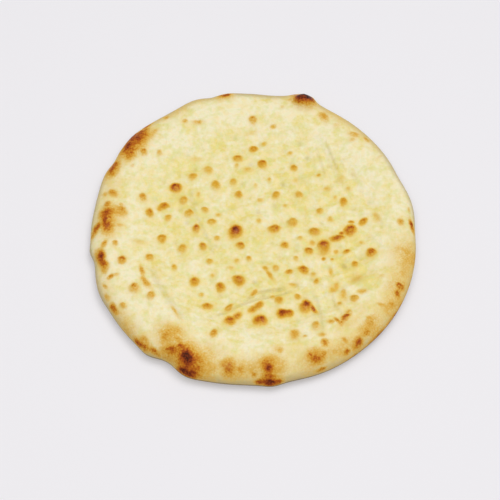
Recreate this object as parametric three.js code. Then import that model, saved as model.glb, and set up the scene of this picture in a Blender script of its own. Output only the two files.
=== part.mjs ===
// Naan bread: one soft, round, leavened flatbread, a little uneven, as it comes out of the oven. A broad
// puffed rim goes round a thinner middle that was docked in slanting rows before it was baked, so that
// the middle is quilted into small pillows, and browned blisters stand on the pillows and on the rim.
// Millimetres, +Z up. The flat underside lies on z = 0, with the origin under the middle of the bread.

import * as THREE from "three";

// Plan outline: a mean radius, slow waves round it, and the local swells and flats of single bubbles.
// Crests and places are angles in degrees, counted from +X towards +Y.
const MEAN_RADIUS = 110.9;
const OUTLINE_WAVES = [
  { lobes: 1, amount: 0.8, crest: 101 },
  { lobes: 2, amount: 2.3, crest: 95 },
  { lobes: 3, amount: 0.45, crest: 110 },
  { lobes: 4, amount: 0.6, crest: 54 },
];
const OUTLINE_SWELLS = [
  { at: 0, spread: 4, amount: -0.5 },
  { at: 11, spread: 6, amount: 1.2 },
  { at: 24, spread: 4, amount: -1.3 },
  { at: 72, spread: 4.5, amount: 3.0 },
  { at: 84, spread: 5, amount: -1.6 },
  { at: 99, spread: 3, amount: 1.2 },
  { at: 105, spread: 2, amount: -0.8 },
  { at: 111, spread: 4, amount: 1.5 },
  { at: 122, spread: 5, amount: -0.8 },
  { at: 137, spread: 4, amount: 0.9 },
  { at: 155, spread: 4, amount: 0.6 },
  { at: 168, spread: 7, amount: -0.9 },
  { at: 184.5, spread: 2, amount: 1.6 },
  { at: 193, spread: 3, amount: -1.2 },
  { at: 205, spread: 4, amount: 1.2 },
  { at: 237, spread: 5, amount: -1.4 },
  { at: 248, spread: 4, amount: 2.0 },
  { at: 274, spread: 2.5, amount: 1.3 },
];

// Section: the thinner middle, the puffed rim, the widest line of the side, and the two rolls that
// bring the top and the underside round to it
const MIDDLE_HEIGHT = 8.0;
const RIM_HEIGHT = 12.8;
const RIM_TILT = { amount: 1.3, crest: 240 };
const WIDEST_HEIGHT = 5.4;
const TOP_ROLL = 15;
const UNDER_ROLL = 6.5;

// The docked middle: a disc a little off centre, its slope up to the rim, and the rows of pillows
const DOCKED_CENTRE = new THREE.Vector2(5, 2);
const DOCKED_RADIUS = 66;
const DOCKED_SLOPE = 26;
const ROW_PITCH = 12;
const ROW_TILT = THREE.MathUtils.degToRad(24.5);
const ROW_START = new THREE.Vector2(2.5, -5.3);
const ROW_SWAY = { amount: 1.8, length: 58 };
const PILLOW_RISE = { least: 0.12, most: 0.55, length: 74 };

// Blisters on the pillows, as soft domes: the place and the width of each, and how far it stands up
const BLISTERS = [
  { x: -11, y: 0, width: 11, rise: 2.0 },
  { x: -52, y: 34, width: 10, rise: 1.8 },
  { x: 47, y: -11, width: 10, rise: 1.8 },
  { x: 65, y: 1, width: 9, rise: 1.6 },
  { x: 21, y: -61, width: 10, rise: 1.8 },
  { x: 35, y: -56, width: 9, rise: 2.0 },
  { x: 5, y: -66, width: 10, rise: 1.8 },
  { x: -10, y: -37, width: 10, rise: 1.7 },
  { x: -22, y: -42, width: 8, rise: 1.4 },
  { x: -38, y: -38, width: 9, rise: 1.5 },
  { x: -13, y: -66, width: 9, rise: 1.5 },
  { x: -29, y: -56, width: 8, rise: 1.3 },
  { x: 33, y: -30, width: 9, rise: 1.6 },
  { x: 78, y: -16, width: 8, rise: 1.4 },
  { x: 7, y: 54, width: 8, rise: 1.4 },
  { x: -60, y: 19, width: 9, rise: 1.3 },
  { x: 14, y: 2, width: 8, rise: 1.2 },
];

// Scorched bubbles on the rim, broader and higher than the blisters
const RIM_BUBBLES = [
  { x: 35, y: 106, width: 20, rise: 4.2 },
  { x: -81, y: 70, width: 24, rise: 1.8 },
  { x: -96, y: 9, width: 22, rise: 2.0 },
  { x: -98, y: -24, width: 14, rise: 1.5 },
  { x: -52, y: -76, width: 20, rise: 1.4 },
  { x: -43, y: -93, width: 30, rise: 3.0 },
  { x: -14, y: -98, width: 18, rise: 1.2 },
  { x: 9, y: -99, width: 22, rise: 1.9 },
  { x: 41, y: -92, width: 24, rise: 1.8 },
  { x: 68, y: -82, width: 18, rise: 1.4 },
  { x: 94, y: -40, width: 26, rise: 1.2 },
];

// Creases where the stretched dough folded as it puffed: start, end, depth and width of each groove
const CREASES = [
  { from: [-62, -28], to: [-46, -66], depth: 1.3, width: 9 },
  { from: [-34, -63], to: [-6, -52], depth: 1.0, width: 8 },
  { from: [-6, -52], to: [30, -41], depth: 1.2, width: 8 },
  { from: [-38, 35], to: [-25, -8], depth: 0.8, width: 8 },
  { from: [43, 68], to: [57, 28], depth: 0.8, width: 9 },
  { from: [44, -70], to: [42, -52], depth: 0.9, width: 8 },
];

// Slow swells of the whole top: wavelength in mm, heading in degrees, start and height of each
const UNDULATIONS = [
  { length: 71, heading: 20, start: 0.4, amount: 0.35 },
  { length: 52, heading: 85, start: 2.1, amount: 0.3 },
  { length: 43, heading: 140, start: 4.4, amount: 0.25 },
  { length: 31, heading: 52, start: 1.3, amount: 0.2 },
];

// How finely the surface is divided. Ring number k has POINTS_PER_RING * k points.
const POINTS_PER_RING = 6;
const CROWN_RINGS = 33;
const ROLL_RINGS = 5;
const UNDER_RINGS = 3;
const FLAT_RINGS = [96, 48, 20, 8, 1];

const TURN = 2 * Math.PI;
const { degToRad, smoothstep } = THREE.MathUtils;

// A smooth hump of height 1. At half its width from the middle it has a fifth of its height left.
function hump(distance, width) {
  const share = (2 * distance) / width;
  return Math.pow(0.2, share * share);
}

// How far an angle is from a place on the outline, the shorter way round
function angleBetween(angle, degrees) {
  const turned = angle - degToRad(degrees);
  return Math.abs(Math.atan2(Math.sin(turned), Math.cos(turned)));
}

function outlineRadius(angle) {
  let radius = MEAN_RADIUS;
  for (const { lobes, amount, crest } of OUTLINE_WAVES) {
    radius += amount * Math.cos(lobes * (angle - degToRad(crest)));
  }
  for (const { at, spread, amount } of OUTLINE_SWELLS) {
    const share = angleBetween(angle, at) / degToRad(spread);
    radius += amount * Math.exp(-0.5 * share * share);
  }
  return radius;
}

function rimHeight(angle) {
  return RIM_HEIGHT + RIM_TILT.amount * Math.cos(angle - degToRad(RIM_TILT.crest));
}

// 0 over the docked middle, 1 on the rim
function rimShare(place) {
  const distance = place.distanceTo(DOCKED_CENTRE);
  return smoothstep(distance, DOCKED_RADIUS, DOCKED_RADIUS + DOCKED_SLOPE);
}

// The docked pillows: a square lattice of humps with grooves between them. The rows sway a little,
// and the pillows stand higher in some parts of the bread than in others.
function pillowHeight(place) {
  const row = place.clone().rotateAround(new THREE.Vector2(), -ROW_TILT).sub(ROW_START);
  const swayAlong = ROW_SWAY.amount * Math.sin((TURN * row.y) / ROW_SWAY.length);
  const swayAcross = ROW_SWAY.amount * Math.sin((TURN * row.x) / ROW_SWAY.length);
  const along = Math.cos((TURN * (row.x + swayAlong)) / ROW_PITCH);
  const across = Math.cos((TURN * (row.y + swayAcross)) / ROW_PITCH);
  const turns = place.clone().multiplyScalar(TURN / PILLOW_RISE.length);
  const share = 0.5 + 0.5 * Math.sin(turns.x) * Math.cos(turns.y);
  const rise = THREE.MathUtils.lerp(PILLOW_RISE.least, PILLOW_RISE.most, share);
  return 0.5 * rise * (along + across);
}

function domeHeight(place, domes) {
  let height = 0;
  for (const { x, y, width, rise } of domes) {
    height += rise * hump(place.distanceTo(new THREE.Vector2(x, y)), width);
  }
  return height;
}

function creaseDepth(place) {
  const point = new THREE.Vector3(place.x, place.y, 0);
  let total = 0;
  for (const { from, to, depth, width } of CREASES) {
    const line = new THREE.Line3(new THREE.Vector3(...from, 0), new THREE.Vector3(...to, 0));
    const nearest = line.closestPointToPoint(point, true, new THREE.Vector3());
    total += depth * hump(point.distanceTo(nearest), width);
  }
  return total;
}

function undulation(place) {
  let height = 0;
  for (const { length, heading, start, amount } of UNDULATIONS) {
    const along = place.x * Math.cos(degToRad(heading)) + place.y * Math.sin(degToRad(heading));
    height += amount * Math.sin((TURN * along) / length + start);
  }
  return height;
}

// Height of the top at a place, before the edge rolls down
function crownHeight(place, angle) {
  const rim = rimShare(place);
  const body = THREE.MathUtils.lerp(MIDDLE_HEIGHT, rimHeight(angle), rim);
  const quilting = (1 - rim) * (pillowHeight(place) - creaseDepth(place));
  return body + undulation(place) + quilting + domeHeight(place, BLISTERS) + domeHeight(place, RIM_BUBBLES);
}

// A ring of points is a count, and a function that gives the point at an angle.
// A top ring is set by its share of the way to the roll, and by how far round the roll it is.
function topRing(count, share, roll) {
  const pointAt = (angle) => {
    const reach = (outlineRadius(angle) - TOP_ROLL) * share + TOP_ROLL * Math.sin(roll);
    const place = new THREE.Vector2(reach, 0).rotateAround(new THREE.Vector2(), angle);
    const height = WIDEST_HEIGHT + (crownHeight(place, angle) - WIDEST_HEIGHT) * Math.cos(roll);
    return new THREE.Vector3(place.x, place.y, height);
  };
  return { count, pointAt };
}

// A ring under the widest line: roll is 0 at that line and a quarter turn where the flat starts
function underRing(count, roll) {
  const pointAt = (angle) => {
    const reach = outlineRadius(angle) - UNDER_ROLL * (1 - Math.cos(roll));
    const height = WIDEST_HEIGHT * (1 - Math.sin(roll));
    return new THREE.Vector3(reach * Math.cos(angle), reach * Math.sin(angle), height);
  };
  return { count, pointAt };
}

// A ring on the flat underside, at a share of the radius of the flat
function flatRing(count, share) {
  const pointAt = (angle) => {
    const reach = (outlineRadius(angle) - UNDER_ROLL) * share;
    return new THREE.Vector3(reach * Math.cos(angle), reach * Math.sin(angle), 0);
  };
  return { count, pointAt };
}

// All the rings, from the middle of the top, out round the edge, and in to the middle underneath
function breadRings() {
  const rings = [topRing(1, 0, 0)];
  for (let k = 1; k <= CROWN_RINGS; k += 1) {
    rings.push(topRing(POINTS_PER_RING * k, k / CROWN_RINGS, 0));
  }
  for (let k = 1; k <= ROLL_RINGS; k += 1) {
    const roll = (Math.PI / 2) * (k / ROLL_RINGS);
    rings.push(topRing(POINTS_PER_RING * (CROWN_RINGS + k), 1, roll));
  }
  const edgeCount = POINTS_PER_RING * (CROWN_RINGS + ROLL_RINGS);
  for (let k = 1; k <= UNDER_RINGS; k += 1) {
    const roll = (Math.PI / 2) * (k / UNDER_RINGS);
    rings.push(underRing(edgeCount, roll));
  }
  FLAT_RINGS.forEach((count, k) => {
    rings.push(flatRing(count, 1 - (k + 1) / FLAT_RINGS.length));
  });
  return rings;
}

// Joins two rings of any counts with a band of triangles, stepping along whichever ring is behind
function stitch(first, second, faces) {
  let i = 0;
  let j = 0;
  while (i < first.length || j < second.length) {
    const here = first[i % first.length];
    const there = second[j % second.length];
    if ((j + 1) / second.length <= (i + 1) / first.length) {
      j += 1;
      faces.push([here, there, second[j % second.length]]);
    } else {
      i += 1;
      faces.push([here, there, first[i % first.length]]);
    }
  }
}

function isWholeTriangle([a, b, c]) {
  return a !== b && b !== c && c !== a;
}

function breadGeometry() {
  const points = [];
  const faces = [];
  let previous = null;
  for (const { count, pointAt } of breadRings()) {
    const ring = [];
    for (let i = 0; i < count; i += 1) {
      ring.push(points.length);
      points.push(pointAt((TURN * i) / count));
    }
    if (previous) {
      stitch(previous, ring, faces);
    }
    previous = ring;
  }
  const geometry = new THREE.BufferGeometry().setFromPoints(points);
  geometry.setIndex(faces.filter(isWholeTriangle).flat());
  geometry.computeBoundingBox();
  const middle = geometry.boundingBox.getCenter(new THREE.Vector3());
  geometry.translate(-middle.x, -middle.y, 0);
  geometry.computeVertexNormals();
  return geometry;
}

const bakedDough = new THREE.MeshStandardMaterial({ color: 0xe9dcab, roughness: 0.6, metalness: 0 });

const naan = new THREE.Mesh(breadGeometry(), bakedDough);
naan.name = "naan";

const bread = new THREE.Group();
bread.name = "naan_bread";
bread.add(naan);

export default bread;
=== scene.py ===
"""Naan bread: the finished looks of one round, leavened flatbread.

The bread is one piece. Its surface is worked out as heights over a plan: an uneven round outline, a
rolled edge, a puffed rim, a docked middle that is quilted into pillows, creases, and blisters. How
brown each place is baked is worked out from the same blisters and scorches, and is kept in attributes
on the vertices, which the finish turns into colour, gloss and grain. Two more attributes carry painted
shade: in the folds and docked holes, and along the edge, where it mixes with the edge's tan. The skin
is the top rolled out flat: a place on it keeps its angle and its distance from the widest line.
Formulas work in millimetres, and meshes are in metres. Angles are degrees, counted from +X towards
+Y. What is drawn at random for each pillow or hole is drawn for as many rows and columns as DRAWN
says, and then repeats.
"""

import logging
import math
from dataclasses import dataclass
from enum import Enum

import bpy
import numpy as np
from mathutils import Matrix


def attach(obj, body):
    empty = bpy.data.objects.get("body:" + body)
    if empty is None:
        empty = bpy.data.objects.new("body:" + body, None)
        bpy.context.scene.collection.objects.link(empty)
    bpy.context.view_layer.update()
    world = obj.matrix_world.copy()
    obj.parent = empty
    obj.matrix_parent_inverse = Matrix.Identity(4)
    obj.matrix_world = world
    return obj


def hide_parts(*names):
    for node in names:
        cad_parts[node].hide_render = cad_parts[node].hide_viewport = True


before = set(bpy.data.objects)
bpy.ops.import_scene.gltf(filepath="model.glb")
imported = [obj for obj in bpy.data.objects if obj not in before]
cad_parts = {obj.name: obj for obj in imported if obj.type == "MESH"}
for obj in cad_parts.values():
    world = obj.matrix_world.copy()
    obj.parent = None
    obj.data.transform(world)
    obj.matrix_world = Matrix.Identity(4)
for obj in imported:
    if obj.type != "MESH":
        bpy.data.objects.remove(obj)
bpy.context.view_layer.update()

MM = 0.001
BODY = "root"
NODE = "naan"
TURN = 2 * math.pi
DRAWN = (40, 40)

Array = np.ndarray
Pair = tuple[float, float]
Triple = tuple[float, float, float]
Ends = tuple[float, ...]
Rows = tuple[tuple[float, ...], ...]
Colour = tuple[int, int, int]
Socket = bpy.types.NodeSocket

log = logging.getLogger("naan")


def smoothstep(value: Array, low: float, high: float) -> Array:
    """Rise from 0 at low to 1 at high: 3 t squared less 2 t cubed, where t is the share of the way."""
    t = np.clip((value - low) / (high - low), 0.0, 1.0)
    return t * t * (3.0 - 2.0 * t)


def hump(away: Array, reach: float) -> Array:
    """Fall from 1 with the distance: e to the power of minus the square of the distance over the reach."""
    return np.exp(-((away / reach) ** 2))


def mound(x: Array, y: Array, at: Pair, reach: Pair) -> Array:
    """Fall from 1 with the distance from a place on the plan: the product of a hump in X and one in Y."""
    return hump(x - at[0], reach[0]) * hump(y - at[1], reach[1])


def away_from(angle: Array, at: float) -> Array:
    """Give how far angles are from one angle, in degrees, the shorter way round."""
    return (angle - at + 180.0) % 360.0 - 180.0


def unit(angle: Array | float) -> tuple[Array, Array]:
    """Give the X and the Y of the unit direction at an angle in degrees."""
    return np.cos(np.radians(angle)), np.sin(np.radians(angle))


def turned(x: Array, y: Array, heading: float) -> tuple[Array, Array]:
    """Give how far places lie along a heading in degrees, and how far across it to its left."""
    cosine, sine = unit(heading)
    return x * cosine + y * sine, y * cosine - x * sine


def linear(colour: Colour) -> tuple[float, ...]:
    """Turn a screen colour into the shaders' linear colour.

    Args:
        colour: Red, green and blue, 0 to 255 each.

    Returns:
        Linear red, green and blue, and an alpha of 1.
    """
    share = np.array(colour) / 255.0
    low = share / 12.92
    high = ((share + 0.055) / 1.055) ** 2.4
    return (*np.where(share <= 0.04045, low, high).tolist(), 1.0)


@dataclass(frozen=True)
class Swell:
    """Smooth random swelling of a surface, the same on every run.

    Random heights on a square grid of points, which is turned so that no row shows, joined by cubic
    B-splines. cell is the grid's pitch in mm.
    """

    cell: float
    seed: int
    count: int = 64

    def at(self, x: Array, y: Array) -> Array:
        """Give the swelling, about -1 to 1, at places in mm, with the grid turned by a seeded angle."""
        heading = -np.degrees(np.random.default_rng(self.seed).uniform(0.0, TURN))
        return self.straight(*turned(x, y, heading))

    def straight(self, x: Array, y: Array) -> Array:
        """Give the same swelling with its grid unturned.

        Args:
            x: The places' X in mm.
            y: The places' Y in mm.

        Returns:
            The sixteen nearest grid heights, weighted by the cubic B-spline of their distance.
        """
        draw = np.random.default_rng(self.seed + 1000)
        grid = draw.uniform(-1.0, 1.0, (self.count, self.count))
        u = x / self.cell + 0.5 * self.count
        v = y / self.cell + 0.5 * self.count
        column = np.floor(u).astype(int)
        row = np.floor(v).astype(int)
        total = np.zeros_like(u)
        for i in range(-1, 3):
            for j in range(-1, 3):
                weight = self.spline(u - column - i) * self.spline(v - row - j)
                total += weight * grid[(column + i) % self.count, (row + j) % self.count]
        return 2.0 * total

    @staticmethod
    def spline(distance: Array) -> Array:
        """Weigh a grid height by the cubic B-spline.

        Args:
            distance: How far off the grid point is, in cells.

        Returns:
            2/3 less t squared plus half t cubed within one cell, and (2 less t) cubed over 6 within two.
        """
        t = np.abs(distance)
        near = 2.0 / 3.0 - t * t + 0.5 * t**3
        far = np.clip(2.0 - t, 0.0, None) ** 3 / 6.0
        return np.where(t < 1.0, near, far)


@dataclass(frozen=True)
class Cloud:
    """Swellings added up, each half as wide and half as high as the one before.

    strength is the height of the sum, cell the pitch of the widest swelling in mm, and seed the seed
    of the first one, with one more for each that follows.
    """

    strength: float
    cell: float
    seed: int
    layers: int = 3

    def at(self, x: Array, y: Array) -> Array:
        """Give the cloud at places on the plan.

        Args:
            x: The places' X in mm.
            y: The places' Y in mm.

        Returns:
            The sum, about minus to plus the strength.
        """
        total = np.zeros_like(x)
        for k in range(self.layers):
            total += 0.5**k * Swell(self.cell / 2**k, self.seed + k).at(x, y)
        return self.strength * total / (2.0 - 0.5 ** (self.layers - 1))


@dataclass(frozen=True)
class SmallDomes:
    """Small round domes, one in each cell of a square grid, at a random place and size.

    rise is the highest dome's height in mm, and cell the grid's pitch in mm. offsets and radii are
    the least and the most, in cells.
    """

    rise: float
    cell: float
    seed: int
    count: int = 128
    offsets: Pair = (0.2, 0.8)
    radii: Pair = (0.25, 0.75)

    def at(self, x: Array, y: Array) -> Array:
        """Give the height of the highest dome at each place.

        Args:
            x: The places' X in mm.
            y: The places' Y in mm.

        Returns:
            The rise times (1 less q squared) squared times a random strength, where q is the
            distance from the dome's middle over its radius.
        """
        count = self.count
        draw = np.random.default_rng(self.seed)
        offsets = draw.uniform(*self.offsets, (2, count, count))
        radii = draw.uniform(*self.radii, (count, count)) * self.cell
        strengths = draw.uniform(0.0, 1.0, (count, count)) ** 2
        column = np.floor(x / self.cell).astype(int)
        row = np.floor(y / self.cell).astype(int)
        highest = np.zeros_like(x)
        for i in (-1, 0, 1):
            for j in (-1, 0, 1):
                a = (column + i) % count
                b = (row + j) % count
                across = x - (column + i + offsets[0, a, b]) * self.cell
                along = y - (row + j + offsets[1, a, b]) * self.cell
                q = (across**2 + along**2) / radii[a, b] ** 2
                highest = np.maximum(highest, strengths[a, b] * np.clip(1.0 - q, 0.0, None) ** 2)
        return self.rise * highest


class Tone(Enum):
    """How brown a spot is baked, 0 for plain dough and 1 for black char."""

    FAINT = 0.17
    PALE = 0.25
    GOLDEN = 0.33
    AMBER = 0.43
    BROWN = 0.55
    DARK = 0.66
    SCORCHED = 0.78
    CHARRED = 1.0


FAINT, PALE, GOLDEN, AMBER, BROWN, DARK, SCORCHED, CHARRED = Tone


@dataclass(frozen=True)
class Profile:
    """A spot's section: its rise as a share of its width, and its dip and paleness in the middle.

    softness is 0 for a spot with a body that ends, and 1 for one that only fades out. fade is how
    wide the end of the body is.
    """

    rise: float
    dip: float
    paler: float
    softness: float
    fade: float = 0.95


class Form(Enum):
    """The shapes of spots: a blister, one sunk in the middle, a stain, a broad bubble, a scab."""

    DOME = Profile(0.15, 0.0, 0.04, 0.55)
    RING = Profile(0.13, 0.45, 0.28, 0.35)
    STAIN = Profile(0.0, 0.0, 0.0, 1.0)
    BUBBLE = Profile(0.1, 0.0, 0.0, 0.6)
    SCAB = Profile(0.02, 0.0, 0.0, 0.0, 0.6)


DOME, RING, STAIN, BUBBLE, SCAB = Form
Group = tuple[Tone, Form, Rows]


@dataclass(frozen=True)
class Spot:
    """A blister or a stain: its place on the skin, its width, its tone, its form and its slant.

    A length less than the width makes it round. Its outline is warped by a wide and a fine swelling,
    each given as its share and its cell, in widths. Reaches and ends are on the scale on which the
    outline lies at 1. The rest are shares of the tone.
    """

    x: float
    y: float
    width: float
    tone: Tone
    form: Form
    length: float = 0.0
    heading: float = 0.0
    wide_warp: Pair = (0.09, 0.75)
    fine_warp: Pair = (0.04, 0.3)
    first_seed: int = 500
    dome_reach: float = 1.15
    dip_reach: float = 0.42
    body_end: float = 0.77
    ends_sooner: float = 0.12
    fades_sooner: float = 0.2
    softening: float = 1.1
    crescent: float = 0.16
    crescent_place: float = 0.5
    crescent_reach: float = 0.35
    pale_reach: float = 0.4
    body_shade: float = 0.95
    far_shade: float = 0.15
    halo: float = 0.2
    halo_reach: float = 1.6

    def local(self, x: Array, y: Array) -> tuple[Array, Array]:
        """Place points on the spot's own scale.

        Args:
            x: The places' X in mm.
            y: The places' Y in mm.

        Returns:
            q, 0 in the middle and 1 at the spot's outline, and how far towards the bread's far side
            the point lies on that scale. The outline is an ellipse, warped by the swellings.
        """
        seed = self.first_seed + int(abs(7 * self.x + 13 * self.y))
        dx = x - self.x + self.sway(seed, x, y) - self.sway(seed, self.x, self.y)
        dy = y - self.y + self.sway(seed + 1, x, y) - self.sway(seed + 1, self.x, self.y)
        along, across = turned(dx, dy, self.heading)
        half = 0.5 * self.width
        return np.hypot(along / max(0.5 * self.length, half), across / half), dy / half

    def sway(self, seed: int, x: Array, y: Array) -> Array:
        """Give how far the spot's outline is warped one way, in mm: the wide swelling and the fine one."""
        warps = (seed, *self.wide_warp), (seed + 2, *self.fine_warp)
        return self.width * sum(share * Swell(cell * self.width, n).at(x, y) for n, share, cell in warps)

    def near(self, x: Array, y: Array) -> Array:
        """Find the points that the spot can reach: those within two lengths of its middle."""
        reach = 2.0 * max(self.length, self.width)
        return np.flatnonzero(np.hypot(x - self.x, y - self.y) < reach)

    def relief(self, q: Array) -> Array:
        """Give the spot's height in mm.

        Args:
            q: The distance from the middle, 1 at the spot's outline.

        Returns:
            The width times the rise of a dome, (1 less q squared) squared, less the dip, a hump.
        """
        profile = self.form.value
        dome = np.clip(1.0 - (q / self.dome_reach) ** 2, 0.0, None) ** 2
        return profile.rise * self.width * (dome - profile.dip * hump(q, self.dip_reach))

    def bake(self, q: Array, far: Array) -> Array:
        """Give how brown the spot is: a body with a dark crescent on the far side, and a halo.

        Args:
            q: The distance from the middle, 1 at the spot's outline.
            far: How far towards the far side, on the same scale.

        Returns:
            The bake, from 0 to a little over the tone. The body is a smooth step down, which ends
            sooner on the far side, mixed with a hump by the softness. Its shade grows towards the far
            side, and by the crescent, a hump of the distance from half way out, and is less by the
            paleness of the middle. The halo is a wide hump, stronger on the near side.
        """
        profile = self.form.value
        side = np.clip(far / np.maximum(q, 0.3), -1.0, 1.0)
        end = self.body_end + 0.5 * profile.fade - self.ends_sooner * side
        body = 1.0 - smoothstep(q, end - profile.fade + self.fades_sooner * side, end)
        body += profile.softness * (np.exp(-self.softening * q * q) - body)
        crescent = self.crescent * np.clip(side, 0.0, None)
        crescent *= hump(q - self.crescent_place, self.crescent_reach)
        paler = profile.paler * hump(q, self.pale_reach) * (1.2 - 0.2 * side)
        halo = self.halo * (1.0 - 0.5 * side) * hump(q, self.halo_reach)
        shade = self.body_shade + self.far_shade * np.clip(far, -1.0, 1.0) + crescent - paler
        return self.tone.value * (body * shade + (1.0 - body) * halo)


@dataclass(frozen=True)
class Crease:
    """A fold in the dough: the points it runs through, and its depth, width and lift in mm.

    The dough beside the fold is lifted, which makes the fold look like a seam between two cushions.
    run_out is the length in mm over which the fold runs out at each end. lift_reach is in widths.
    """

    path: Rows
    depth: float
    width: float
    lift: float
    run_out: float = 8.0
    lift_reach: float = 1.6

    def fold(self, x: Array, y: Array) -> tuple[Array, Array]:
        """Give the fold's groove and its lift, as humps of the distance to the path.

        Args:
            x: The places' X in mm.
            y: The places' Y in mm.

        Returns:
            The groove's depth and the lift's height in mm. Both run out at the two ends.
        """
        steps = np.hypot(*np.diff(np.array(self.path), axis=0).T)
        starts = np.concatenate([[0.0], np.cumsum(steps)])
        nearest = np.full_like(x, np.inf)
        place = np.zeros_like(x)
        for (ax, ay), (bx, by), step, start in zip(self.path, self.path[1:], steps, starts):
            along = ((x - ax) * (bx - ax) + (y - ay) * (by - ay)) / step**2
            along = np.clip(along, 0.0, 1.0)
            away = np.hypot(x - ax - along * (bx - ax), y - ay - along * (by - ay))
            place = np.where(away < nearest, start + along * step, place)
            nearest = np.minimum(nearest, away)
        ends = smoothstep(place, 0.0, self.run_out) * smoothstep(starts[-1] - place, 0.0, self.run_out)
        groove = self.depth * ends * hump(nearest, 0.5 * self.width)
        return groove, self.lift * ends * hump(nearest, self.lift_reach * self.width)


@dataclass(frozen=True)
class Ripples:
    """A stretch of fine wrinkles that run one way: its middle, its two reaches and their heading."""

    x: float
    y: float
    length: float
    width: float
    heading: float
    pitch: float
    rise: float
    drawn_out: float = 4.0

    def height(self, x: Array, y: Array, seed: int) -> Array:
        """Give the wrinkles' height in mm.

        Args:
            x: The places' X in mm.
            y: The places' Y in mm.
            seed: The seed of the swelling.

        Returns:
            A swelling drawn out along the heading, within a mound round the middle.
        """
        along, across = turned(x - self.x, y - self.y, self.heading)
        place = mound(along, across, (0.0, 0.0), (self.length, self.width))
        return self.rise * place * Swell(self.pitch, seed).straight(along / self.drawn_out, across)


@dataclass(frozen=True)
class Outline:
    """The bread's outline in plan: a mean radius, slow waves, and the swells of single bubbles.

    A wave is its number of lobes, its height in mm and the angle of a crest. A swell is its angle,
    its spread and its height in mm.
    """

    mean_radius: float = 110.9
    waves: Rows = (
        (1, 0.8, 101), (2, 2.3, 95), (3, 0.45, 110), (4, 0.6, 54),
    )
    swells: Rows = (
        (0, 4, -0.5), (11, 6, 1.2), (24, 4, -0.7), (72, 4.5, 3), (75, 1.4, 0.5), (71.4, 2.4, 2.6),
        (68.6, 1, 1.1), (84, 5, -1.1), (99, 3, 1.2), (105, 2, -0.8), (111, 4, 1.5), (122, 5, -0.8),
        (137, 4, 0.9), (150, 2.5, -1.2), (155, 4, 0.4), (168, 7, -0.9), (188, 2, 1.1), (193, 3, -1.2),
        (205, 4, 1.2), (233, 2.6, 1.2), (240.4, 3.6, -2.7), (248, 4, 1.5), (266, 5, -0.6),
        (276.4, 2.5, 1.3), (284, 4, -0.4), (296, 8, 0.5),
    )

    def radius(self, angle: Array) -> Array:
        """Give the outline's radius.

        Args:
            angle: The angles in degrees.

        Returns:
            The radius in mm: the mean, plus a cosine for each wave, plus a bell curve for each swell.
        """
        radius = np.full_like(angle, self.mean_radius)
        for lobes, amount, crest in self.waves:
            radius += amount * np.cos(lobes * np.radians(angle - crest))
        for at, spread, amount in self.swells:
            radius += amount * hump(away_from(angle, at), spread * math.sqrt(2.0))
        return radius


@dataclass(frozen=True)
class Roll:
    """A quarter of an ellipse in the bread's section: its width and its height in mm."""

    width: float
    height: float
    steps: int = 200

    def arc(self, turn: Array) -> Array:
        """Give the length along the quarter from its outermost point.

        Args:
            turn: How far round the quarter, from 0 at the outermost point to a quarter turn.

        Returns:
            The length in mm: the sum of the short steps of the ellipse.
        """
        turns = np.linspace(0.0, 0.25 * TURN, self.steps)
        speed = np.hypot(self.width * np.sin(turns), self.height * np.cos(turns))
        lengths = 0.5 * (speed[1:] + speed[:-1]) * np.diff(turns)
        return np.interp(turn, turns, np.concatenate([[0.0], np.cumsum(lengths)]))

    def whole(self) -> float:
        """Give the length of the whole quarter in mm."""
        return float(self.arc(np.array([0.25 * TURN]))[0])


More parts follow.
